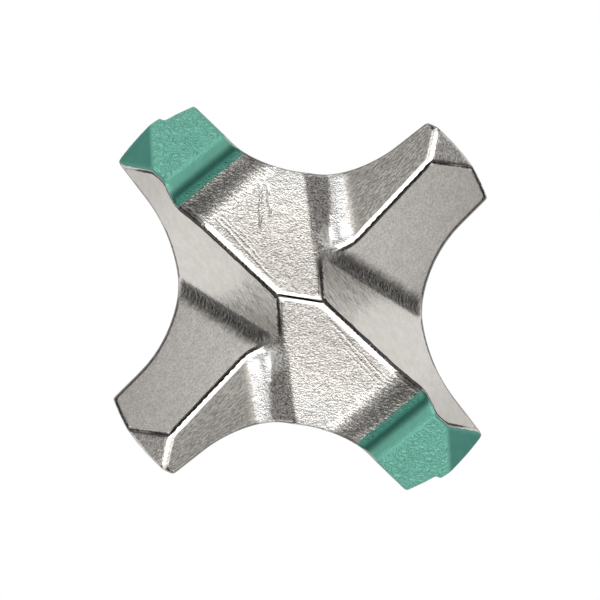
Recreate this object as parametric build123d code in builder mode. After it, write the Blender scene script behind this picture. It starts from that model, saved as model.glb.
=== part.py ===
from build123d import *
import math
import os

os.makedirs("parts", exist_ok=True)

# Masonry drill bit for a rotary hammer, nominal 12 mm: a one-piece X-shaped carbide head is
# brazed to a steel body with four flutes, a plain neck and a slotted round shank.
# The bit lies on its side as it comes to rest: its axis runs along Y and the tip points to -Y.
# Lengths are in millimetres and angles in degrees. Headings are measured in the face of the tip,
# counter-clockwise as seen by someone who looks at the tip; a rise is measured along the bit's
# axis from the chisel edge, positive ahead of the tip.

# Overall
overall_length = 160.0

# Carbide head: X-shaped outline
head_length = 14.0
main_radius = 6.1  # half the cutting diameter of 12.2 mm
main_relief = 0.13  # step behind the narrow guiding land of each main arm
guide_land_start = 127.7  # heading where the relieved part of a main arm begins
minor_radius = 5.83
minor_heading = 45.0
notch_core = 3.34  # nearest point of a notch to the axis
notch_radius = 3.45
notch_flank = 48.0  # slope of the straight flanks to the notch's own centre line
notch_headings = (86.3, 176.0)  # each notch has a twin half a turn away
arm_back_length = 2.2  # cone that leads from the head down to the body
arm_back_clearance = 0.05  # head over body radius at the joint

# Carbide head: cutting faces, each as slope and heading of its fall
main_clearance = (40.5, 79.9)
main_rake = (59.1, 211.7)
main_rake_rise = 0.68
flank_relief = (48.2, 53.5)  # narrow face between a clearance face and the next rake face
flank_relief_rise = 0.273
minor_clearance = (38.7, -29.2)
minor_clearance_rise = -1.287
minor_rake = (43.9, 125.0)
minor_rake_rise = -1.296
main_corner = (49.5, 145.8)
main_corner_rise = 4.0
minor_corner = (40.5, 31.0)
minor_corner_rise = 1.78

# Carbide head: wear step across each main clearance face
wear_heading = 134.9
wear_distance = 3.97  # from the axis to the middle of the groove
wear_step = 0.33  # height of the outer face over the inner one
wear_groove_depth = 0.09
wear_groove_half = 1.02
wear_floor_half = 0.06
wear_wall_slope = 48.0
wear_rounding = 0.2

# Carbide head: rounded valleys between the arms
top_valley_radius = 0.85
side_valley_radius = 0.75
valley_start = -1.0  # rise where both begin
valley_sink = 0.012  # the webs' long edges lie this deep under the faces that they join

# Brazed joint
braze_thickness = 0.15
braze_inset = 0.03  # filler metal stays inside the body's outline

# Steel body
land_radius = 4.7
flute_core = 3.3
flute_radius = 3.5
flute_lead = 70.0
flute_length = 64.0
runout_length = 10.0
shank_radius = 5.0
shank_chamfer = 1.0

# Shank: two open drive slots and two closed ball pockets
slot_width = 4.0
slot_floor = 3.2  # from the axis
slot_length = 34.0
slot_corner = 1.2
slot_heading = 45.0
ball_radius = 3.5
ball_line = 6.7  # path of the ball's centre, from the axis
pocket_start = 13.0  # ball centres, from the end of the shank
pocket_end = 31.0


def notch_face(outer_radius):
    """one notch on the X axis: a round bottom with straight flanks that open outwards"""
    reach = notch_core + notch_radius
    run = 2 * outer_radius
    tangent_x = reach - notch_radius * math.sin(math.radians(notch_flank))
    tangent_y = notch_radius * math.cos(math.radians(notch_flank))
    open_x = tangent_x + run * math.cos(math.radians(notch_flank))
    open_y = tangent_y + run * math.sin(math.radians(notch_flank))
    with BuildSketch(Plane.XY) as notch:
        with BuildLine():
            ThreePointArc((tangent_x, tangent_y), (notch_core, 0), (tangent_x, -tangent_y))
            Polyline(
                (tangent_x, -tangent_y), (open_x, -open_y), (open_x, open_y), (tangent_x, tangent_y)
            )
        make_face()
    return notch.sketch


def corner_point(radius, heading):
    return radius * math.cos(math.radians(heading)), radius * math.sin(math.radians(heading))


def flank_corner_angle(radius):
    """angle between a notch's centre line and its corner on a circle of that radius"""
    slope = math.radians(notch_flank)
    apex = notch_core + notch_radius - notch_radius / math.sin(slope)
    return notch_flank - math.degrees(math.asin(apex * math.sin(slope) / radius))


# The bit rests on the two lowest corners of its head and on the end of its shank
relief_radius = main_radius - main_relief
low_main = corner_point(
    relief_radius, notch_headings[0] + 180 + flank_corner_angle(relief_radius)
)
low_minor = corner_point(
    minor_radius, notch_headings[0] + 180 - flank_corner_angle(minor_radius)
)
roll = -math.degrees(math.atan2(low_main[1] - low_minor[1], low_main[0] - low_minor[0]))
chord = math.dist(low_main, low_minor)
corner_height = abs(low_minor[0] * low_main[1] - low_minor[1] * low_main[0]) / chord
axis_height = max(corner_height, shank_radius)

tip = Plane(
    origin=(0, -overall_length / 2, axis_height),
    x_dir=(math.cos(math.radians(roll)), 0, math.sin(math.radians(roll))),
    z_dir=(0, -1, 0),
)
bit_axis = Axis(tip.origin, tip.z_dir)
body_depth = head_length + braze_thickness
meridian = Plane(origin=tip.origin, x_dir=tip.x_dir, z_dir=-tip.y_dir)
rear = Plane(origin=tip.offset(-body_depth).origin, x_dir=tip.x_dir, z_dir=-tip.z_dir)


def direction(x, y, z):
    return tip.x_dir * x + tip.y_dir * y + tip.z_dir * z


def cutting_face(face, rise, turn=0):
    """a plane that falls at a slope towards a heading and crosses the axis at a rise"""
    slope, heading = math.radians(face[0]), math.radians(face[1] + turn)
    normal = direction(
        math.sin(slope) * math.cos(heading), math.sin(slope) * math.sin(heading), math.cos(slope)
    )
    return Plane(origin=tip.origin + tip.z_dir * rise, z_dir=normal)


def cut_blank(faces):
    """a round blank, trimmed by each of the faces"""
    with BuildPart() as blank:
        with BuildSketch(tip.offset(-head_length)):
            Circle(main_radius + notch_radius)
        extrude(amount=head_length + main_radius)
        for face in faces:
            split(bisect_by=face, keep=Keep.BOTTOM)
    return blank.part


def dropped(flat, face):
    """a direction across the tip, let down onto a face"""
    return flat - tip.z_dir * (flat.dot(face.z_dir) / tip.z_dir.dot(face.z_dir))


def wear_cutter(turn):
    """what is ground off ahead of a main clearance face, as far as the wear step"""
    face = cutting_face(main_clearance, 0, turn)
    heading = math.radians(wear_heading + turn)
    outward = dropped(direction(math.cos(heading), math.sin(heading), 0), face)
    groove = dropped(direction(math.sin(heading), -math.cos(heading), 0), face)
    middle = tip.origin + outward * wear_distance
    across = Plane(origin=middle, x_dir=face.z_dir.cross(groove), z_dir=groove)
    wall_top = 3 * wear_step
    wall_run = (wall_top + wear_groove_depth) / math.tan(math.radians(wear_wall_slope))
    reach = 2 * main_radius
    with BuildPart() as cutter:
        with BuildSketch(across):
            with BuildLine():
                FilletPolyline(
                    (-reach, 0),
                    (-wear_groove_half, 0),
                    (-wear_floor_half, -wear_groove_depth),
                    (wear_floor_half, -wear_groove_depth),
                    (wear_floor_half + wall_run, wall_top),
                    radius=wear_rounding,
                )
                Polyline((wear_floor_half + wall_run, wall_top), (-reach, wall_top), (-reach, 0))
            make_face()
        extrude(amount=reach, both=True)
    return cutter.part


def valley_line(face_a, face_b, rise_start):
    """where two faces meet: a plane across the valley, half its opening and its length"""
    line = face_a.intersect(face_b)
    down = line.direction if line.direction.dot(tip.z_dir) < 0 else -line.direction
    rise = (line.position - tip.origin).dot(tip.z_dir)
    start = line.position + down * ((rise_start - rise) / down.dot(tip.z_dir))
    outward = (face_a.z_dir + face_b.z_dir).normalized()
    half_opening = math.pi / 2 - math.acos(face_a.z_dir.dot(face_b.z_dir)) / 2
    length = main_radius / math.hypot(down.dot(tip.x_dir), down.dot(tip.y_dir))
    return Plane(origin=start, x_dir=outward, z_dir=down), half_opening, length


def valley_web(face_a, face_b, radius, trimmed_by):
    """what rounds off the bottom of the valley between two faces"""
    across, half_opening, length = valley_line(face_a, face_b, valley_start)
    centre = radius / math.sin(half_opening)
    touch_x = centre - radius * math.sin(half_opening) - valley_sink
    touch_y = radius * math.cos(half_opening)
    with BuildPart() as web:
        with BuildSketch(across):
            with BuildLine():
                ThreePointArc((touch_x, touch_y), (centre - radius, 0), (touch_x, -touch_y))
                Polyline((touch_x, -touch_y), (-radius, 0), (touch_x, touch_y))
            make_face()
        extrude(amount=length)
        for face in trimmed_by:
            split(bisect_by=face, keep=Keep.BOTTOM)
    return web.part


def valley_clearance(face_a, face_b, radius):
    """the round channel that stays open over a web"""
    across, half_opening, length = valley_line(face_a, face_b, valley_start)
    with BuildPart() as channel:
        with BuildSketch(across):
            with Locations((radius / math.sin(half_opening), 0)):
                Circle(radius - valley_sink)
        extrude(amount=length)
    return channel.part


def shank_side(heading, height):
    """a plane over one side of the shank: its X runs from the end of the shank to the tip"""
    turned = math.radians(heading)
    outward = tip.x_dir * math.cos(turned) + tip.y_dir * math.sin(turned)
    end = tip.offset(-overall_length).origin
    return Plane(origin=end + outward * height, x_dir=tip.z_dir, z_dir=outward)


def sector(radius, start, end):
    """a slice of a disc between two headings"""
    with BuildSketch(Plane.XY) as slice_face:
        with BuildLine():
            Line((0, 0), corner_point(radius, start))
            CenterArc((0, 0), radius, start, end - start)
            Line(corner_point(radius, end), (0, 0))
        make_face()
    return slice_face.sketch


# X-shaped outline of the head, with the guiding lands of the two main arms
with BuildPart() as outline:
    with BuildSketch(tip.offset(-head_length)):
        Circle(minor_radius)
        for turn in (0, 180):
            add(sector(relief_radius, notch_headings[0] + turn, notch_headings[1] + turn))
            add(sector(main_radius, guide_land_start + turn, notch_headings[1] + turn))
        for heading in notch_headings:
            for turn in (0, 180):
                with Locations(Location((0, 0, 0), (0, 0, heading + turn))):
                    add(notch_face(main_radius), mode=Mode.SUBTRACT)
    extrude(amount=head_length + main_radius)
    # cone at the back of the arms
    with BuildSketch(meridian):
        with BuildLine():
            Polyline(
                (0, main_radius),
                (main_radius, main_radius),
                (main_radius, arm_back_length - head_length),
                (land_radius + arm_back_clearance, -head_length),
                (0, -head_length),
                close=True,
            )
        make_face()
    revolve(axis=bit_axis, mode=Mode.INTERSECT)

# Carbide head
wear_lift = wear_step / math.cos(math.radians(main_clearance[0]))
main_faces = []
for turn in (0, 180):
    main_faces.append(cutting_face(main_clearance, wear_lift, turn))
    main_faces.append(cutting_face(main_rake, main_rake_rise, turn))
    main_faces.append(cutting_face(main_corner, main_corner_rise, turn))

with BuildPart() as carbide_head:
    add(cut_blank(main_faces))
    for turn in (0, 180):
        add(wear_cutter(turn), mode=Mode.SUBTRACT)
    for turn in (0, 180):
        split(bisect_by=cutting_face(flank_relief, flank_relief_rise, turn), keep=Keep.BOTTOM)
    for turn in (0, 180):
        clearance = cutting_face(minor_clearance, minor_clearance_rise, turn)
        rake = cutting_face(minor_rake, minor_rake_rise, turn)
        corner = cutting_face(minor_corner, minor_corner_rise, turn)
        own_half = cutting_face((90, minor_heading + 180), 0, turn)
        main = cutting_face(main_clearance, 0, turn)
        relief = cutting_face(flank_relief, flank_relief_rise, turn)
        next_rake = cutting_face(main_rake, main_rake_rise, turn + 180)
        add(cut_blank([clearance, rake, corner, own_half]))
        add(valley_web(next_rake, clearance, side_valley_radius, [relief, main]))
        add(valley_web(relief, rake, top_valley_radius, [clearance]))
        add(valley_clearance(relief, rake, top_valley_radius), mode=Mode.SUBTRACT)
    add(outline.part, mode=Mode.INTERSECT)

# Section of the body through its four flutes, seen from the shank
with BuildSketch() as fluted_section:
    Circle(land_radius)
    for heading in notch_headings:
        for turn in (0, 180):
            with Locations(corner_point(flute_core + flute_radius, turn - heading)):
                Circle(flute_radius, mode=Mode.SUBTRACT)

# Filler metal of the brazed joint
with BuildPart() as braze_joint:
    with BuildSketch(rear):
        add(fluted_section.sketch)
        offset(amount=-braze_inset)
    extrude(amount=-braze_thickness)

# Right-hand twist of the flutes
with BuildPart() as twisted_flutes:
    with BuildLine() as twist_path:
        Line((0, 0, 0), (0, 0, flute_length))
    with BuildLine() as twist_guide:
        Helix(pitch=flute_lead, height=flute_length, radius=land_radius)
    add(fluted_section.sketch)
    sweep(path=twist_path.wires()[0], binormal=twist_guide.edges()[0])

# Steel body: flutes, neck and shank turned, milled and rolled from one bar
flute_end = body_depth + flute_length
with BuildPart() as drill_body:
    with Locations(rear.location):
        add(twisted_flutes.part)
    # the flutes run out into the neck on a long arc, and the shank ends in a chamfer
    with BuildSketch(meridian):
        with BuildLine():
            Polyline(
                (flute_core, runout_length - flute_end),
                (0, runout_length - flute_end),
                (0, -overall_length),
                (shank_radius - shank_chamfer, -overall_length),
                (shank_radius, shank_chamfer - overall_length),
                (shank_radius, -flute_end),
            )
            TangentArc(
                (flute_core, runout_length - flute_end), (shank_radius, -flute_end), tangent=(0, -1)
            )
        make_face()
    revolve(axis=bit_axis)
    # open drive slots, with rounded inner ends
    for turn in (0, 180):
        with BuildSketch(shank_side(slot_heading + turn, slot_floor)):
            RectangleRounded(2 * slot_length, slot_width, slot_corner)
        extrude(amount=shank_radius, mode=Mode.SUBTRACT)
    # closed ball pockets
    for turn in (90, 270):
        side = shank_side(slot_heading + turn, ball_line)
        with BuildSketch(Plane(origin=side.from_local_coords((pocket_start, 0, 0)), z_dir=side.x_dir)):
            Circle(ball_radius)
        extrude(amount=pocket_end - pocket_start, mode=Mode.SUBTRACT)
        for place in (pocket_start, pocket_end):
            with Locations(side.from_local_coords((place, 0, 0))):
                Sphere(ball_radius, mode=Mode.SUBTRACT)

carbide_head.part.label = "carbide_head"
braze_joint.part.label = "braze_joint"
drill_body.part.label = "drill_body"
export_step(carbide_head.part, "parts/carbide_head.step")
export_step(braze_joint.part, "parts/braze_joint.step")
export_step(drill_body.part, "parts/drill_body.step")
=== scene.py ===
# %% [markdown]
# # A masonry drill bit, seen on its tip
# The photo looks straight at the carbide head of a hammer-drill bit from very close. The solids
# come from CAD with their places in their meshes. Blender adds what CAD leaves out: worn edges,
# the skin that sintering leaves, grinding marks, the green wear marks, the light and the camera.

# %% Load the frame
import math

import bpy
import numpy as np
from mathutils import Matrix, Vector


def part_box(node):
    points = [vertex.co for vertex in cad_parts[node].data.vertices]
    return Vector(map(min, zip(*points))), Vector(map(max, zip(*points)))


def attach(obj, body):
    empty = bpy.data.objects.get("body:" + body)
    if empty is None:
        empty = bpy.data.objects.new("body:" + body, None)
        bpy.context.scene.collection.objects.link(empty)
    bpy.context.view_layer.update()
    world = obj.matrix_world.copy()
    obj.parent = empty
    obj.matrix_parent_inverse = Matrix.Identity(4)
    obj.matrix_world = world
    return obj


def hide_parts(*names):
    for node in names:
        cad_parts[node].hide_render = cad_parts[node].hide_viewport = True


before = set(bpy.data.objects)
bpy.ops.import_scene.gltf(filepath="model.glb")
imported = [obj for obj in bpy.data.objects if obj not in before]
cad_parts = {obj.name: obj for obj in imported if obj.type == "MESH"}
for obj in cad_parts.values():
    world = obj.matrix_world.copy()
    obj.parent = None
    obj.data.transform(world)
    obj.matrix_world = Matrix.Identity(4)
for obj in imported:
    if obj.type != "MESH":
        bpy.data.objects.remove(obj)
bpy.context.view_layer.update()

scene = bpy.context.scene
scene.view_settings.view_transform = "Standard"
print("nodes", sorted(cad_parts))

# %% [markdown]
# ## The tip's own frame
# The bit lies on its side, a little rolled about its axis. Everything on the head is easier to
# place in a frame that sits on the point of the tip: across and up lie in the face that the photo
# shows, and ahead points out of the tip. Numbers on the head are in millimetres.

# %% Tip frame
MM = 0.001
ROLL = math.radians(4.584)
body_low, body_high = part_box("drill_body")
tip_point = Vector((0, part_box("carbide_head")[0].y, (body_low.z + body_high.z) / 2))
across = Vector((math.cos(ROLL), 0, math.sin(ROLL)))
up = Vector((-math.sin(ROLL), 0, math.cos(ROLL)))
ahead = Vector((0, -1, 0))
tip_to_world = Matrix.Translation(tip_point) @ Matrix((across, up, ahead)).transposed().to_4x4()
tip_to_world = tip_to_world @ Matrix.Scale(MM, 4)
world_to_tip = tip_to_world.inverted()
print("tip at", tuple(round(v, 5) for v in tip_point))

# %% [markdown]
# ## The camera
# Nothing of the body shows in the notches of the head, though the flutes twist behind them. That
# happens only when the lens stands close: 25 mm ahead of the tip, on its axis.

# %% Camera
FRAME_PIXELS = 600
PIXEL = 0.02374  # millimetres at the tip
CAMERA_AHEAD = 25.0
OFF_CENTRE = (0.2, 1.6)  # pixels right of and above the middle of the photo

camera_data = bpy.data.cameras.new("tip_camera")
camera_data.sensor_width = 36
camera_data.lens = camera_data.sensor_width * CAMERA_AHEAD / (FRAME_PIXELS * PIXEL)
camera_data.shift_x = -OFF_CENTRE[0] / FRAME_PIXELS
camera_data.shift_y = -OFF_CENTRE[1] / FRAME_PIXELS
camera_data.clip_start = 0.001
camera_data.clip_end = 20
camera = bpy.data.objects.new("tip_camera", camera_data)
scene.collection.objects.link(camera)
camera.matrix_world = Matrix.Translation(tip_to_world @ Vector((0, 0, CAMERA_AHEAD))) @ (
    Matrix((across, up, ahead)).transposed().to_4x4()
)
scene.camera = camera
print("lens", round(camera_data.lens, 2), "mm")

# %% [markdown]
# ## A helper for node trees
# Each finish is a small tree of shader nodes. The helper adds one node, sets its options and
# connects or fills its sockets, so that a tree reads from top to bottom like a recipe.


# %% Node helper
def add_node(tree, kind, sockets=(), **options):
    made = tree.nodes.new(kind)
    for option, value in options.items():
        setattr(made, option, value)
    for socket, value in dict(sockets).items():
        if isinstance(value, bpy.types.NodeSocket):
            tree.links.new(value, made.inputs[socket])
        else:
            made.inputs[socket].default_value = value
    return made


def new_material(name):
    material = bpy.data.materials.new(name)
    material.use_nodes = True
    material.node_tree.nodes.clear()
    return material, material.node_tree


def maths(tree, operation, a, b=0.0, clamp=False):
    made = add_node(tree, "ShaderNodeMath", {0: a, 1: b}, operation=operation, use_clamp=clamp)
    return made.outputs[0]


def ramp(tree, value, low, high, to_low=0.0, to_high=1.0):
    """a soft step from one value to another"""
    made = add_node(
        tree,
        "ShaderNodeMapRange",
        {"Value": value, "From Min": low, "From Max": high, "To Min": to_low, "To Max": to_high},
        interpolation_type="SMOOTHSTEP",
    )
    return made.outputs["Result"]


def times(tree, a, b):
    return maths(tree, "MULTIPLY", a, b)


def rest_of(tree, value):
    """what is left of 1"""
    return maths(tree, "SUBTRACT", 1.0, value)


def mix(tree, amount, a, b):
    """a number between a and b"""
    made = add_node(tree, "ShaderNodeMix", {0: amount, 2: a, 3: b}, data_type="FLOAT")
    return made.outputs[0]


def blend(tree, amount, a, b):
    """a colour between a and b"""
    made = add_node(
        tree, "ShaderNodeMix", {0: amount, 6: a, 7: b}, data_type="RGBA", blend_type="MIX"
    )
    return made.outputs[2]


def shaded(tree, colour, level):
    """a colour made darker or brighter"""
    made = add_node(tree, "ShaderNodeVectorMath", {0: colour, "Scale": level}, operation="SCALE")
    return made.outputs[0]


def close_tree(tree, sockets):
    """the shader at the end of a finish, and the material's output"""
    surface = add_node(tree, "ShaderNodeBsdfPrincipled", sockets)
    add_node(tree, "ShaderNodeOutputMaterial", {"Surface": surface.outputs[0]})


def seen_directly(tree):
    """1 for what the lens, a mirror or glass sees, 0 for what only lights a matt surface"""
    path = add_node(tree, "ShaderNodeLightPath")
    most = maths(tree, "MAXIMUM", path.outputs["Is Camera Ray"], path.outputs["Is Glossy Ray"])
    return maths(tree, "MAXIMUM", most, path.outputs["Is Transmission Ray"])


print("helpers ready")


# %% [markdown]
# ## The white room
# The photo has a pure white background. The world is white where the lens or the metal looks at
# it, and softer where it only lights the floor, so the metal gets no light that whitens it.

# %% World
AMBIENT = 0.55
world = bpy.data.worlds.new("white_room")
world.use_nodes = True
room = world.node_tree
room.nodes.clear()
soft_light = add_node(room, "ShaderNodeBackground", {"Color": (1, 1, 1, 1), "Strength": AMBIENT})
white_wall = add_node(room, "ShaderNodeBackground", {"Color": (1, 1, 1, 1), "Strength": 1.0})
wall_mix = add_node(
    room,
    "ShaderNodeMixShader",
    {0: seen_directly(room), 1: soft_light.outputs[0], 2: white_wall.outputs[0]},
)
add_node(room, "ShaderNodeOutputWorld", {"Surface": wall_mix.outputs[0]})
scene.world = world
print("room lights with", AMBIENT)

# %% [markdown]
# ## The table
# The bit lies on a white table with its tip over the edge, so that light also reaches the point
# from below. The table is white to the lens and keeps a faint shadow under the bit.

# %% Table
TABLE_EDGE = 30.0  # millimetres of the tip that stand over the edge
TABLE_SIDE = 1.2
PAPER_WHITE = 0.93
edge_y = tip_point.y + TABLE_EDGE * MM
bpy.ops.object.select_all(action="DESELECT")
bpy.ops.mesh.primitive_plane_add(size=TABLE_SIDE, location=(0, edge_y + TABLE_SIDE / 2, 0))
table = bpy.context.active_object
table.name = "table"
paper, paper_tree = new_material("white_paper")
paper_matt = add_node(paper_tree, "ShaderNodeBsdfDiffuse", {"Color": (0.2, 0.2, 0.2, 1)})
glow = times(paper_tree, seen_directly(paper_tree), PAPER_WHITE)
paper_glow = add_node(
    paper_tree, "ShaderNodeEmission", {"Color": (1, 1, 1, 1), "Strength": glow}
)
paper_sum = add_node(
    paper_tree, "ShaderNodeAddShader", {0: paper_matt.outputs[0], 1: paper_glow.outputs[0]}
)
add_node(paper_tree, "ShaderNodeOutputMaterial", {"Surface": paper_sum.outputs[0]})
table.data.materials.append(paper)
print("table edge at", round(edge_y, 4))

# %% [markdown]
# ## Lights and cards
# Metal has little colour of its own: it shows what stands around it. The photo tells what that
# was. Each facet and each rounded edge mirrors one direction, so bright and dark facets give a
# map: two bright soft boxes above and below the lens, dark at the lens and at both sides, and a
# dark band all round at right angles to the bit.


# %% Soft boxes and dark cards
def in_tip_frame(position, x_axis, y_axis):
    """a matrix that puts a flat thing at a place of the tip frame, facing along x cross y"""
    x, y = Vector(x_axis), Vector(y_axis)
    turn = Matrix((x, y, x.cross(y))).transposed().to_4x4()
    rigid = Matrix.Translation(tip_point) @ Matrix((across, up, ahead)).transposed().to_4x4()
    return rigid @ Matrix.Translation(Vector(position) * MM) @ turn


def soft_box(name, position, x_axis, y_axis, width, height, watts):
    lamp = bpy.data.lights.new(name, "AREA")
    lamp.shape = "RECTANGLE"
    lamp.size, lamp.size_y = width * MM, height * MM
    lamp.energy = watts
    box = bpy.data.objects.new(name, lamp)
    scene.collection.objects.link(box)
    box.matrix_world = in_tip_frame(position, x_axis, y_axis)
    box.visible_camera = False


card_black, card_tree = new_material("black_card")
card_face = add_node(card_tree, "ShaderNodeBsdfDiffuse", {"Color": (0.02, 0.02, 0.02, 1)})
add_node(card_tree, "ShaderNodeOutputMaterial", {"Surface": card_face.outputs[0]})


def only_in_mirrors(thing, material):
    """a card shows in metal alone, and throws no shadow on the table"""
    thing.visible_camera = False
    thing.visible_diffuse = False
    thing.visible_transmission = False
    thing.visible_shadow = False
    thing.data.materials.append(material)


def flat_card(name, position, x_axis, y_axis, width, height, material):
    bpy.ops.object.select_all(action="DESELECT")
    bpy.ops.mesh.primitive_plane_add(size=1)
    thing = bpy.context.active_object
    thing.name = name
    thing.matrix_world = in_tip_frame(position, x_axis, y_axis) @ Matrix.Diagonal(
        (width * MM, height * MM, 1, 1)
    )
    only_in_mirrors(thing, material)


BOX_HEIGHT = 60.0
BOX_STRENGTH = 1.5  # times as bright as the white room
BOX_NEAR, BOX_FAR = 80, 30  # degrees from the bit's axis, as the tip mirrors them
BOX_START, BOX_END = 41, 140  # headings that the upper box fills; the lower one stands opposite
box_low = BOX_HEIGHT / math.tan(math.radians(BOX_NEAR))
box_high = BOX_HEIGHT / math.tan(math.radians(BOX_FAR))
box_right = BOX_HEIGHT / math.tan(math.radians(BOX_START))
box_left = BOX_HEIGHT / math.tan(math.radians(BOX_END))
box_area = (box_right - box_left) * (box_high - box_low) * MM**2
box_watts = BOX_STRENGTH * math.pi * box_area  # a lamp of this power is as bright as that
for name, side in (("upper_box", 1), ("lower_box", -1)):
    soft_box(
        name,
        (side * (box_left + box_right) / 2, side * BOX_HEIGHT, (box_low + box_high) / 2),
        (side, 0, 0),
        (0, 0, -1),
        box_right - box_left,
        box_high - box_low,
        box_watts,
    )

SIDE_REACH = 80.0
SIDE_CARDS = {  # headings from and to, angles from the axis; a twin stands opposite each
    "side_card": (-22, 41, 14, 74),
    "brow_card": (-6, 41, 74, 88),
}
for card, (first, last, far, near) in SIDE_CARDS.items():
    deep, shallow = (SIDE_REACH / math.tan(math.radians(angle)) for angle in (far, near))
    low, high = (SIDE_REACH * math.tan(math.radians(angle)) for angle in (first, last))
    for name, side in (("right_", 1), ("left_", -1)):
        flat_card(
            name + card,
            (side * SIDE_REACH, side * (low + high) / 2, (deep + shallow) / 2),
            (0, 0, 1),
            (0, 1, 0),
            deep - shallow,
            high - low,
            card_black,
        )
LENS_CARD_AWAY = 300.0
lens_side = 2 * LENS_CARD_AWAY * math.tan(math.radians(BOX_FAR))
lens_place = (0, 0, LENS_CARD_AWAY)
flat_card("lens_card", lens_place, (1, 0, 0), (0, 1, 0), lens_side, lens_side, card_black)

BAND_RADIUS = 75.0
BAND_NEAR, BAND_FAR = 88, 106  # degrees from the bit's axis
band_front = BAND_RADIUS / math.tan(math.radians(BAND_NEAR))
band_back = BAND_RADIUS / math.tan(math.radians(BAND_FAR))
bpy.ops.object.select_all(action="DESELECT")
bpy.ops.mesh.primitive_cylinder_add(
    vertices=96,
    radius=BAND_RADIUS * MM,
    depth=(band_front - band_back) * MM,
    end_fill_type="NOTHING",
)
band = bpy.context.active_object
band.name = "dark_band"
band.matrix_world = in_tip_frame((0, 0, (band_front + band_back) / 2), (1, 0, 0), (0, 1, 0))
only_in_mirrors(band, card_black)
print("cards in place")

# %% [markdown]
# ## The head: from sharp facets to a pressed and sintered part
# The CAD head has knife-sharp ridges. The real one is pressed from powder and sintered, so every
# ridge is a small round bead and every valley is soft. A voxel remesh gives an even skin, and
# smoothing that skin rounds all edges by the same small radius. Bevels would need each of the many
# short edges picked out, and meet badly where three facets join.


# %% Copy of the head
def only(thing):
    bpy.ops.object.select_all(action="DESELECT")
    thing.select_set(True)
    bpy.context.view_layer.objects.active = thing


def apply_modifier(thing, kind, **options):
    only(thing)
    modifier = thing.modifiers.new(kind.lower(), kind)
    for option, value in options.items():
        setattr(modifier, option, value)
    bpy.ops.object.modifier_apply(modifier=modifier.name)


def merged_copy(node, name):
    thing = bpy.data.objects.new(name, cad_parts[node].data.copy())
    scene.collection.objects.link(thing)
    only(thing)
    bpy.ops.object.mode_set(mode="EDIT")
    bpy.ops.mesh.select_all(action="SELECT")
    bpy.ops.mesh.remove_doubles(threshold=WELD)
    bpy.ops.object.mode_set(mode="OBJECT")
    thing.data.materials.clear()
    return thing


WELD = 1e-7  # metres; the loose triangles of the CAD head meet at the very same places
SKIN = 0.04  # edge of one voxel in millimetres
ROUNDING_STEPS = 24
head = merged_copy("carbide_head", "carbide_tip")
head.data.transform(world_to_tip)
apply_modifier(head, "REMESH", mode="VOXEL", voxel_size=SKIN, adaptivity=0)
apply_modifier(head, "SMOOTH", factor=0.5, iterations=ROUNDING_STEPS)
print("head skin", len(head.data.polygons), "faces")

# %% [markdown]
# On the photo the valley between the narrow flank beside the centre and the minor arm is much
# wider and softer than the ridges are. A second, longer smoothing works on that valley alone: a
# vertex group says how much of it each vertex gets.

# %% Soften the top valley
EXTRA_STEPS = 45
CLOSE_UP_DEPTH = 6.2  # nothing further back shows in the photo
VALLEY_ACROSS = (0.28, 0.46, 0.78, 0.96)  # rises between the first two, falls between the last two
VALLEY_ALONG = (1.05, 1.35, 3.6, 4.0)


def soft_step(values, low, high):
    t = np.clip((values - low) / (high - low), 0, 1)
    return t * t * (3 - 2 * t)


def window(values, stops):
    return soft_step(values, *stops[:2]) * (1 - soft_step(values, *stops[2:]))


def of_each_vertex(what):
    values = np.empty(len(head.data.vertices) * 3, np.float32)
    head.data.vertices.foreach_get(what, values)
    return values.reshape(-1, 3)


count = len(head.data.vertices)
corners = of_each_vertex("co").astype(float)
half = np.sign(corners[:, 1])  # the other half is the same, turned by half a turn
softness = window(corners[:, 0] * half, VALLEY_ACROSS)
softness *= window(corners[:, 1] * half, VALLEY_ALONG)
softness *= corners[:, 2] > -CLOSE_UP_DEPTH
soft_group = head.vertex_groups.new(name="top_valley")
WEIGHTS = 5  # a vertex group is filled in as many steps
for step in range(1, WEIGHTS + 1):
    chosen = np.flatnonzero(np.round(softness * WEIGHTS) == step).tolist()
    soft_group.add(chosen, step / WEIGHTS, "REPLACE")
apply_modifier(
    head, "SMOOTH", factor=0.5, iterations=EXTRA_STEPS, vertex_group=soft_group.name
)
head.vertex_groups.clear()
print("softened", int((softness > 0.1).sum()), "vertices")

# %% [markdown]
# ## Which facet is which
# The facets have different finishes: ground, sintered, or worn. Painting them by hand would stop
# at the edges of faces. Here each vertex gets a share of every finish from the way it faces, so
# that on a round bead the shares change over smoothly. The next cells store them as attributes
# that the material reads.

# %% Shares of each finish
FACETS = {  # slope from the tip's axis and heading of the fall, for one of each pair
    "main_clearance": ((40.5, 79.9),),
    "main_rake": ((59.1, 211.7),),
    "flank": ((48.2, 53.5),),
    "minor_clearance": ((38.7, -29.2),),
    "minor_rake": ((43.9, 125.0),),
    "main_corner": ((49.5, 145.8),),
    "minor_corner": ((40.5, 31.0),),
    "wall": tuple((90.0, heading) for heading in range(0, 180, 15)),
}


def facing(slope, heading):
    s, h = math.radians(slope), math.radians(heading)
    return np.array((math.sin(s) * math.cos(h), math.sin(s) * math.sin(h), math.cos(s)))


SHARPNESS = 120  # how quickly one finish gives way to the next
normals = of_each_vertex("normal")
shares = {}
for finish, directions in FACETS.items():
    best = np.full(count, -1.0)
    for slope, heading in directions:
        for turn in (0, 180):
            best = np.maximum(best, normals @ facing(slope, heading + turn))
    shares[finish] = np.exp(SHARPNESS * (best - 1))
total = sum(shares.values())
print("shares of", len(shares), "finishes")


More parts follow.
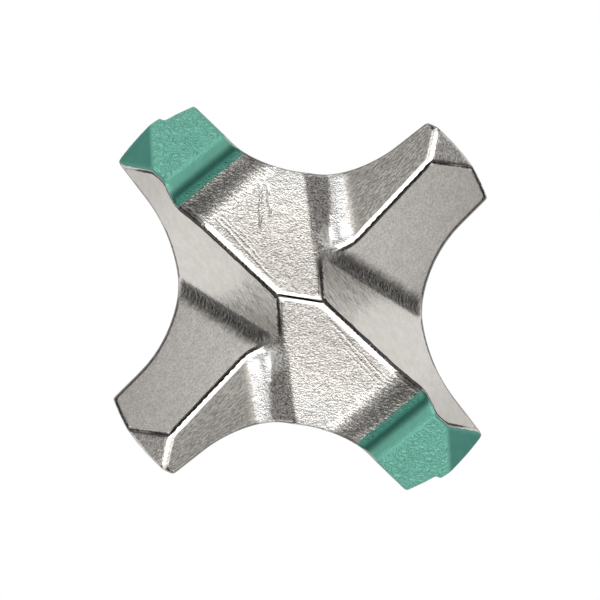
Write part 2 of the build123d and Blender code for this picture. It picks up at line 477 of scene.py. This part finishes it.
# %% [markdown]
# Ridges are polished by the rock, and valleys keep the marks of the press. Both follow from how
# much the skin curves: a vertex that stands above the mean of its neighbours is on a ridge, one
# that lies below it is in a valley. The outer rim is a ridge too, but no rock polishes it: it
# keeps the dark skin of the walls, and gets painted shade along the outline. It is found by
# spreading the walls' share over a few rows of faces, and taken out of the ridges.

# %% Ridges and valleys
RIM_STEPS = 14  # rows of faces over which a measure is spread
HOLLOW_STEPS = 18
CURVE_STEPS = 8
SHARE_STEPS = 3
corners = of_each_vertex("co").astype(float)
ends = np.empty(len(head.data.edges) * 2, np.int32)
head.data.edges.foreach_get("vertices", ends)
ends = ends.reshape(-1, 2)
here, there = np.concatenate((ends, ends[:, ::-1])).T  # each edge, walked both ways
links = np.bincount(here, minlength=count)


def mean_of_neighbours(values):
    columns = values.reshape(count, -1).T
    sums = [np.bincount(here, column[there], count) for column in columns]
    return (np.array(sums) / links).T.reshape(values.shape)


def spread(values, steps):
    """values shared out over some rows of neighbours"""
    for _ in range(steps):
        values = (values + mean_of_neighbours(values)) / 2
    return values


def store(name, values):
    attribute = head.data.attributes.new(name, "FLOAT", "POINT")
    attribute.data.foreach_set("value", values.astype(np.float32))
    print(name, round(float(values.mean()), 3))


lengths = np.linalg.norm(corners[here] - corners[there], axis=1)
spacing = np.bincount(here, lengths, count) / links
rise = ((corners - mean_of_neighbours(corners)) * normals).sum(axis=1)
curving = 4 * rise / spacing**2  # one over the radius, in millimetres
curving = spread(curving, CURVE_STEPS)
for finish, share in shares.items():
    store(finish, spread(share / total, SHARE_STEPS))
rim = soft_step(spread(shares["wall"] / total, RIM_STEPS), 0.04, 0.3)
store("rim", rim)
store("ridge", soft_step(curving, 1.0, 3.2) * (1 - rim))
store("crest", soft_step(curving, 0.7, 1.8) * (1 - rim))
store("valley", spread(soft_step(-curving, 0.35, 1.1), HOLLOW_STEPS))

# %% [markdown]
# The rounded edges need the fine skin. Inside the facets it is flat and on the long walls behind
# them it is plain, so there far fewer faces keep the form. Those faces are selected in code and
# decimated in edit mode, and the stored shares stay on the vertices that are left.

# %% Thin the skin where it is plain
PLAIN_RATIO = 0.03  # faces left where it is plain
FLAT_WITHIN = 0.8  # degrees from a facet's own direction
UPRIGHT_WITHIN = 0.01  # how much of a wall's normal may point along the bit
flat_share = math.exp(SHARPNESS * (math.cos(math.radians(FLAT_WITHIN)) - 1))
square = np.max([shares[finish] for finish in shares if finish != "wall"], axis=0)
plain = (square > flat_share) | (np.abs(normals[:, 2]) < UPRIGHT_WITHIN)
plain |= corners[:, 2] < -CLOSE_UP_DEPTH
loops = np.empty(len(head.data.loops), np.int32)
head.data.loops.foreach_get("vertex_index", loops)
starts = np.empty(len(head.data.polygons), np.int32)
head.data.polygons.foreach_get("loop_start", starts)
head.data.polygons.foreach_set("select", np.minimum.reduceat(plain[loops], starts))
head.data.edges.foreach_set("select", np.zeros(len(head.data.edges), bool))
head.data.vertices.foreach_set("select", np.zeros(count, bool))
only(head)
bpy.context.tool_settings.mesh_select_mode = (False, False, True)
bpy.ops.object.mode_set(mode="EDIT")
bpy.ops.mesh.decimate(ratio=PLAIN_RATIO)
bpy.ops.object.mode_set(mode="OBJECT")
head.data.calc_loop_triangles()
print("head after thinning", len(head.data.loop_triangles), "triangles")

# %% [markdown]
# The new head was made in the tip's millimetres. Its mesh goes back to metres, so that the object
# itself stays at the origin, unturned, and it then stands for the CAD head.

# %% Put the head back on the bit
head.data.transform(tip_to_world)
only(head)
bpy.ops.object.shade_smooth()
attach(head, "root")
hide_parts("carbide_head")
print("head has", len(head.data.vertices), "vertices")

# %% [markdown]
# ## The finish of the carbide
# Sintered tungsten carbide is a warm grey metal. The clearance faces keep the grain of the pressed
# powder and sparkle, the rake faces are ground and smooth with fine scratches, and the outer ends
# of the two main arms are green where the wear mark is.


# %% Carbide
def tip_coordinates(tree):
    """the tip's own coordinates in millimetres, from the object's"""
    place = add_node(tree, "ShaderNodeTexCoord")
    location, rotation, _ = world_to_tip.decompose()
    moved = add_node(
        tree,
        "ShaderNodeMapping",
        {
            "Vector": place.outputs["Object"],
            "Location": location,
            "Rotation": rotation.to_euler("XYZ"),
            "Scale": (1 / MM, 1 / MM, 1 / MM),
        },
        vector_type="POINT",
    )
    return moved.outputs[0]


def share_of(tree, finish):
    return add_node(tree, "ShaderNodeAttribute", attribute_name=finish).outputs["Fac"]


def noise(tree, place, scale, detail=3.0, roughness=0.55):
    made = add_node(
        tree,
        "ShaderNodeTexNoise",
        {"Vector": place, "Scale": scale, "Detail": detail, "Roughness": roughness},
    )
    return made.outputs["Fac"]


def turned(tree, place, heading, stretch):
    """coordinates stretched along a heading in the face of the tip"""
    turn = add_node(
        tree, "ShaderNodeMapping", {"Vector": place, "Rotation": (0, 0, -math.radians(heading))}
    )
    return add_node(
        tree, "ShaderNodeMapping", {"Vector": turn.outputs[0], "Scale": (1 / stretch, 1, 1)}
    ).outputs[0]


def weighted_sum(tree, pairs):
    total = None
    for value, weight in pairs:
        part = times(tree, value, weight)
        total = part if total is None else maths(tree, "ADD", total, part)
    return total


# each facet's brightness is partly its own tone and partly painted light and shade for the way it
# faces
FINISH = {  # brightness, roughness, height of the grain, strength of the flecks
    "main_clearance": (1.2, 0.26, 1.3, 0.7),
    "main_rake": (1.12, 0.26, 0.02, 0.04),
    "flank": (0.6, 0.3, 1.3, 1.7),
    "minor_clearance": (1.22, 0.34, 0.3, 0.42),
    "minor_rake": (0.62, 0.34, 0.55, 0.75),
    "main_corner": (0.6, 0.35, 0.2, 0.1),
    "minor_corner": (1.3, 0.34, 0.7, 0.9),
    "wall": (0.6, 0.4, 0.3, 0.2),
}
carbide, tree = new_material("sintered_carbide")
place = tip_coordinates(tree)
share = {facet: share_of(tree, facet) for facet in FINISH}
ridge, crest = share_of(tree, "ridge"), share_of(tree, "crest")
valley, rim = share_of(tree, "valley"), share_of(tree, "rim")
corner_edge = times(tree, share["minor_rake"], share["minor_corner"])
corner_edge = times(tree, corner_edge, 4.0)  # 1 where both are a half
blunt = maths(tree, "SUBTRACT", share["minor_corner"], corner_edge, clamp=True)
ridge = times(tree, ridge, rest_of(tree, blunt))
not_ridge = rest_of(tree, ridge)


def by_facet(column):
    return weighted_sum(tree, [(share[facet], FINISH[facet][column]) for facet in FINISH])


print("finishes of", len(FINISH), "facets")


# %% [markdown]
# The patterns are noise in the tip's own millimetres. The powder's grain is even in all
# directions. Brush strokes, scratches and the marks across the valleys are the same noise,
# stretched along the way that the tool went.

# %% Carbide: patterns
grain = noise(tree, place, 18.0, 2.0, 0.6)
coarse = noise(tree, place, 4.0, 2.0)
fibres = noise(tree, turned(tree, place, 55, 3.5), 20.0, 3.0)
scratches = noise(tree, turned(tree, place, -50, 20), 20.0, 2.0, 0.5)
press_marks = noise(tree, turned(tree, place, 62, 6), 13.0, 2.0)
WEAR_HEADING = 135.0
wear_marks = noise(tree, turned(tree, place, WEAR_HEADING, 7), 14.0, 2.0)
wrinkles = maths(tree, "SUBTRACT", noise(tree, place, 6.0, 2.0), 0.5)
wrinkles = maths(tree, "ABSOLUTE", wrinkles)
print("patterns made,", len(tree.nodes), "nodes")

# %% [markdown]
# The head is the same after half a turn. The long creases that the pressing tool left beside the
# ridge are placed on one arm, and its twin gets them by turning the coordinates: where up is
# negative, both change sign. Two short creases are on the upper arm alone.

# %% Carbide: creases
split_place = add_node(tree, "ShaderNodeSeparateXYZ", {0: place})
x, y = split_place.outputs[0], split_place.outputs[1]
half = maths(tree, "SIGN", y)
x_twin, y_twin = times(tree, x, half), times(tree, y, half)


def along(x, y, heading):
    turn = math.radians(heading)
    return weighted_sum(tree, [(x, math.cos(turn)), (y, math.sin(turn))])


CREASE_FADE = 0.25  # millimetres over which a crease starts and ends


def crease(heading, beside, start, end, half_width):
    """a soft line: its heading, how far it passes from the axis, and where it starts and ends"""
    away = maths(tree, "SUBTRACT", along(x_twin, y_twin, heading + 90), beside)
    away = maths(tree, "ADD", away, ramp(tree, coarse, 0.3, 0.7, -0.015, 0.015))
    line = ramp(tree, maths(tree, "ABSOLUTE", away), 0.0, half_width, 1.0, 0.0)
    run = along(x_twin, y_twin, heading)
    line = times(tree, line, ramp(tree, run, start, start + CREASE_FADE))
    return times(tree, line, ramp(tree, run, end - CREASE_FADE, end, 1.0, 0.0))


upper_arm = ramp(tree, y, 0.0, 0.1)
creases = weighted_sum(
    tree,
    [
        (crease(-46.7, -0.15, -3.1, -0.7, 0.045), 0.8),
        (crease(-46.7, -0.04, -3.1, -1.1, 0.04), 0.6),
        (crease(-46.7, 0.07, -3.0, -1.5, 0.04), 0.4),
        (times(tree, crease(91.4, 0.956, 1.7, 3.1, 0.07), upper_arm), 4.0),
        (times(tree, crease(97.6, 0.462, 2.1, 3.1, 0.07), upper_arm), 3.4),
    ],
)
print("creases made,", len(tree.nodes), "nodes")

# %% [markdown]
# The green wear mark is a coat on the outer ends of the main arms. It stops on a straight line
# across the arm and along the ridges, where the rake face and the walls begin. Inside that line
# the arm is worn, with a frayed border, and gets painted shade where it dips. The side valleys,
# the top valley and the painted dark line below the main ridge get masks of their own here.

# %% Carbide: where it is green, and where it is worn
GREEN_FROM = 3.806  # millimetres from the axis along the arm
GREEN_SOFT = 0.012  # half the width of its border
out = maths(tree, "ABSOLUTE", along(x, y, WEAR_HEADING))
faces_ahead = maths(
    tree, "SUBTRACT", 1.0, maths(tree, "ADD", share["main_rake"], share["wall"]), clamp=True
)
faces_ahead = ramp(tree, faces_ahead, 0.35, 0.65)
green = times(tree, ramp(tree, out, GREEN_FROM - GREEN_SOFT, GREEN_FROM + GREEN_SOFT), faces_ahead)
bare = rest_of(tree, green)
frayed = maths(tree, "ADD", out, ramp(tree, wear_marks, 0.3, 0.7, -0.16, 0.16))
worn = times(tree, ramp(tree, frayed, 2.86, 3.12), faces_ahead)
worn = times(tree, worn, bare)
side_valley = weighted_sum(
    tree,
    [(share["minor_corner"], 1.0), (share["main_rake"], 1.15), (share["minor_clearance"], 0.6)],
)
side_valley = times(tree, times(tree, valley, side_valley), bare)
# where a painted dark reflection lines the main ridge on its rake side
dark_reflection_line = times(tree, crest, share["main_rake"])
finer_at_green = ramp(tree, out, 3.75, 3.85, 0.0, 0.34)
finer_at_corner = ramp(tree, out, 5.1, 5.6, 0.0, 0.3)
finer = maths(tree, "ADD", finer_at_green, finer_at_corner)
dark_reflection_line = maths(tree, "SUBTRACT", dark_reflection_line, finer, clamp=True)
dark_reflection_line = times(tree, dark_reflection_line, ramp(tree, x_twin, -0.5, -0.3, 1.0, 0.0))
top_valley = weighted_sum(tree, [(share["main_clearance"], 1.0), (share["minor_rake"], 0.6)])
top_valley = times(tree, times(tree, valley, top_valley), bare)
print("masks made,", len(tree.nodes), "nodes")

# %% [markdown]
# One number says how bright the carbide is at each place, and its colour is a warm grey times that
# number. It starts with the facet's own brightness, which is partly its tone and partly painted
# light and shade for the way the facet faces, and the flecks of its grain. The ridges are
# polished, and painted brighter as a highlight. The clearance face gets painted light that grows
# away from the centre, as in the photo. The top valley gets a painted bright streak, and its inner
# end a painted bright spot.

# %% Carbide: brightness
POLISH_AND_HIGHLIGHT = 1.25
open_face = maths(tree, "SUBTRACT", 1.0, valley, clamp=True)
brushed = maths(tree, "ADD", share["minor_rake"], share["minor_corner"], clamp=True)
brushed = times(tree, brushed, open_face)
pattern = mix(tree, brushed, grain, fibres)
fleck = maths(tree, "MAXIMUM", by_facet(3), top_valley)
fleck = times(tree, ramp(tree, pattern, 0.3, 0.7, -0.5, 0.35), fleck)
fleck = maths(tree, "ADD", 1.0, times(tree, fleck, not_ridge))
# polished ridges painted brighter as a highlight, less so in the worn band
polish_and_highlight = times(tree, ridge, ramp(tree, worn, 0.0, 1.0, POLISH_AND_HIGHLIGHT, 0.3))
# painted highlight: a bright spot at the inner end of the top valley
bowl_place = add_node(tree, "ShaderNodeCombineXYZ", {0: x_twin, 1: y_twin})
BOWL_HIGHLIGHT_CENTRE = (0.89, 1.52, 0)  # inner end of the top valley
bowl_highlight = add_node(
    tree, "ShaderNodeVectorMath", {0: bowl_place.outputs[0], 1: BOWL_HIGHLIGHT_CENTRE}, operation="DISTANCE"
)
bowl_highlight = ramp(tree, bowl_highlight.outputs["Value"], 0.15, 0.6, 1.0, 0.0)
bowl_highlight = times(tree, bowl_highlight, maths(tree, "ADD", valley, share["flank"], clamp=True))
# painted light: the clearance face gets brighter away from the centre
painted_light_up_the_face = ramp(tree, along(x_twin, y_twin, 76), 0.2, 3.6, 0.66, 1.65)
on_clearance = times(tree, share["main_clearance"], bare)
# painted light and shade: each facet's brightness follows the way it faces
level = times(tree, by_facet(0), mix(tree, on_clearance, 1.0, painted_light_up_the_face))
level = maths(tree, "ADD", times(tree, level, not_ridge), polish_and_highlight)
# painted highlight: a bright streak along the top valley
level = maths(tree, "ADD", level, times(tree, top_valley, 0.6))
level = maths(tree, "ADD", level, times(tree, bowl_highlight, 2.6))
level = times(tree, level, fleck)
level = times(tree, level, ramp(tree, coarse, 0.3, 0.7, 0.95, 1.04))
print("brightness made,", len(tree.nodes), "nodes")

# %% [markdown]
# Then the dark things are taken away from it: dirt and painted shade between the press marks of
# the side valleys, painted shade in the worn band, a thin black line under the main ridge and
# another along the chisel edge, both painted dark reflections. The rake face gets darker towards
# its outer end, and the rim gets painted shade along the outline.

# %% Carbide: dirt, soot and dark lines
# dirt and painted shade in the side valleys, broken up by the press marks
strokes = maths(tree, "ADD", side_valley, ramp(tree, press_marks, 0.35, 0.65, -0.25, 0.25))
dirt_and_shade = ramp(tree, strokes, 0.2, 1.0, 0.0, 0.72)
level = times(tree, level, rest_of(tree, dirt_and_shade))
bristles = times(tree, ramp(tree, press_marks, 0.35, 0.65, -0.4, 0.4), side_valley)
level = times(tree, level, maths(tree, "ADD", 1.0, bristles))
# painted shade in the worn band where it dips before the groove, streaked by the wear marks
groove_shade = ramp(tree, frayed, 2.8, 3.48, 1.0, 0.24)
groove_shade = maths(tree, "ADD", groove_shade, ramp(tree, out, 3.5, 3.78, 0.0, 0.16))
groove_shade = times(tree, groove_shade, ramp(tree, wear_marks, 0.3, 0.7, 0.6, 1.35))
level = times(tree, level, mix(tree, worn, 1.0, groove_shade))
# painted dark reflection: a thin black line under the main ridge
level = times(tree, level, ramp(tree, dark_reflection_line, 0.2, 0.5, 1.0, 0.05))
CHISEL_HEADING, CHISEL_HALF = -7.6, 0.54  # the edge across the centre, and half its length in mm
# painted dark reflection along the chisel edge
from_chisel = maths(tree, "ABSOLUTE", along(x, y, CHISEL_HEADING + 90))
beyond = maths(tree, "ABSOLUTE", along(x, y, CHISEL_HEADING))
chisel_reflection_line = ramp(tree, from_chisel, 0.02, 0.055, 0.9, 0.0)
chisel_reflection_line = times(tree, chisel_reflection_line, ramp(tree, beyond, CHISEL_HALF, CHISEL_HALF + 0.05, 1.0, 0.0))
level = times(tree, level, rest_of(tree, chisel_reflection_line))
# the main rake face darker towards its outer end
darker_outwards = times(tree, share["main_rake"], ramp(tree, out, 3.2, 5.0, 0.0, 0.2))
level = times(tree, level, rest_of(tree, darker_outwards))
# the rim darker still: dark skin of the walls and painted shade along the outline
level = times(tree, level, ramp(tree, rim, 0.0, 1.0, 1.0, 0.6))
olive = times(tree, share["minor_rake"], 0.4)
tone = blend(tree, olive, (0.60, 0.57, 0.535, 1), (0.575, 0.555, 0.495, 1))
grey = shaded(tree, tone, level)
print("grey made,", len(tree.nodes), "nodes")

# %% [markdown]
# The coat gets painted shade in the bottom of the groove that wear cut across the arm and on the
# corner at its outer end, and painted light where the groove rises. On the flat end it is finely
# wrinkled, with painted shade in the folds.

# %% Carbide: the green coat
COAT = (0.148, 0.405, 0.318, 1)
COAT_CORNER_SHADE = (0.05, 0.228, 0.185, 1)
COAT_GROOVE_SHADE = (0.035, 0.15, 0.115, 1)
# painted shade: a darker coat on the outer corner and in the bottom of the groove
coat = blend(tree, share["main_corner"], COAT, COAT_CORNER_SHADE)
into_groove = ramp(tree, out, 3.84, 4.02, 0.62, 1.0)
out_of_groove = ramp(tree, out, 4.06, 4.28, 1.0, 0.0)
coat = blend(tree, times(tree, into_groove, out_of_groove), coat, COAT_GROOVE_SHADE)
on_plateau = times(tree, green, share["main_clearance"])
# painted shade along the folds of the wrinkles, plus a random tone
fold_shade_and_tone = ramp(tree, wrinkles, 0.0, 0.06, -0.14, 0.05)
fold_shade_and_tone = times(tree, fold_shade_and_tone, times(tree, on_plateau, ramp(tree, out, 4.2, 4.5)))
fold_shade_and_tone = maths(tree, "ADD", ramp(tree, coarse, 0.3, 0.7, 0.94, 1.04), fold_shade_and_tone)
# painted light where the groove's outer wall rises
wall_light = times(tree, ramp(tree, out, 4.1, 4.3, 0.0, 0.45), ramp(tree, out, 4.42, 4.52, 1.0, 0.0))
colour = blend(tree, green, grey, shaded(tree, coat, maths(tree, "ADD", fold_shade_and_tone, wall_light)))
print("coat made,", len(tree.nodes), "nodes")

# %% [markdown]
# The grain, strokes, marks and wrinkles are too fine for the mesh, so a bump node turns them into
# relief. Each pattern is kept to its own facets by their shares, and its weight is a height.

# %% Carbide: relief
grain_height = maths(tree, "MAXIMUM", by_facet(2), top_valley)
grain_height = times(tree, grain_height, rest_of(tree, bowl_highlight))
grain_height = times(tree, times(tree, grain_height, not_ridge), bare)
on_brushed = times(tree, brushed, not_ridge)
near_axis = ramp(tree, out, 0.9, 2.0, 1.0, 0.04)
on_rake = times(tree, times(tree, scratches, near_axis), share["main_rake"])
height = weighted_sum(
    tree,
    [
        (times(tree, grain, grain_height), 0.008 * MM),
        (times(tree, coarse, grain_height), 0.008 * MM),
        (times(tree, creases, on_clearance), -0.006 * MM),
        (on_rake, 0.016 * MM),
        (times(tree, fibres, on_brushed), 0.012 * MM),
        (times(tree, press_marks, side_valley), 0.03 * MM),
        (times(tree, wear_marks, worn), 0.016 * MM),
        (times(tree, wrinkles, on_plateau), 0.14 * MM),
    ],
)
bump = add_node(tree, "ShaderNodeBump", {"Height": height, "Strength": 1.0, "Distance": 1.0})
print("relief made,", len(tree.nodes), "nodes")

# %% [markdown]
# Polished ridges are the smoothest. The rim and the inner end of the top valley are dull, and the
# coat is duller still and only half metal.

# %% Carbide: shader
rough = mix(tree, ridge, by_facet(1), 0.12)
rough = mix(tree, green, rough, 0.5)
rough = maths(tree, "MAXIMUM", rough, times(tree, maths(tree, "MAXIMUM", bowl_highlight, rim), 0.45))
close_tree(
    tree,
    {
        "Base Color": colour,
        "Metallic": mix(tree, green, 1.0, 0.55),
        "Roughness": rough,
        "Specular IOR Level": 0.15,
        "Normal": bump.outputs[0],
    },
)
head.data.materials.append(carbide)
print("carbide has", len(tree.nodes), "nodes")

# %% [markdown]
# ## The steel body
# The body keeps its CAD shape. Its flutes are blasted after hardening, and the shank is turned, so
# it has fine rings round the axis. The rings are noise squeezed along the bit and drawn out round
# it.


# %% Steel
def dress(node, material):
    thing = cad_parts[node]
    thing.data.materials.clear()
    thing.data.materials.append(material)


SHANK_FROM = 103.0  # millimetres behind the tip
steel, tree = new_material("hardened_steel")
place = tip_coordinates(tree)
split_place = add_node(tree, "ShaderNodeSeparateXYZ", {0: place})
depth = times(tree, split_place.outputs[2], -1.0)
shank = ramp(tree, depth, SHANK_FROM, SHANK_FROM + 0.3)
blast = noise(tree, place, 6.0, 4.0, 0.6)
cloud = noise(tree, place, 0.35, 3.0)
squeezed = add_node(tree, "ShaderNodeMapping", {"Vector": place, "Scale": (0.05, 0.05, 6.0)})
rings = noise(tree, squeezed.outputs[0], 4.0, 2.0)
blasted = times(
    tree, ramp(tree, blast, 0.3, 0.7, 0.7, 1.2), ramp(tree, cloud, 0.3, 0.7, 0.85, 1.1)
)
turned_skin = ramp(tree, rings, 0.3, 0.7, 0.86, 1.08)
steel_tone = blend(tree, shank, (0.36, 0.35, 0.34, 1), (0.5, 0.49, 0.48, 1))
blast_height = times(tree, blast, rest_of(tree, shank))
ring_height = times(tree, rings, shank)
height = weighted_sum(tree, [(blast_height, 0.03 * MM), (ring_height, 0.004 * MM)])
bump = add_node(tree, "ShaderNodeBump", {"Height": height, "Strength": 1.0, "Distance": 1.0})
close_tree(
    tree,
    {
        "Base Color": shaded(tree, steel_tone, mix(tree, shank, blasted, turned_skin)),
        "Metallic": 1.0,
        "Roughness": mix(tree, shank, 0.46, 0.27),
        "Normal": bump.outputs[0],
    },
)
dress("drill_body", steel)
print("steel has", len(tree.nodes), "nodes")

# %% [markdown]
# ## The brazed joint
# The braze is a thin brassy line with a rough, fired skin: it ran, and its colour changes where it
# did. It keeps its CAD shape too.

# %% Braze
brass, tree = new_material("fired_braze")
place = tip_coordinates(tree)
flow = noise(tree, place, 2.5, 4.0)
DARK_BRASS, PALE_BRASS = (0.62, 0.44, 0.22, 1), (0.78, 0.62, 0.38, 1)
brass_colour = blend(tree, ramp(tree, flow, 0.35, 0.65), DARK_BRASS, PALE_BRASS)
height = times(tree, flow, 0.03 * MM)
bump = add_node(tree, "ShaderNodeBump", {"Height": height, "Strength": 1.0, "Distance": 1.0})
close_tree(
    tree,
    {"Base Color": brass_colour, "Metallic": 1.0, "Roughness": 0.4, "Normal": bump.outputs[0]},
)
dress("braze_joint", brass)
print("braze has", len(tree.nodes), "nodes")
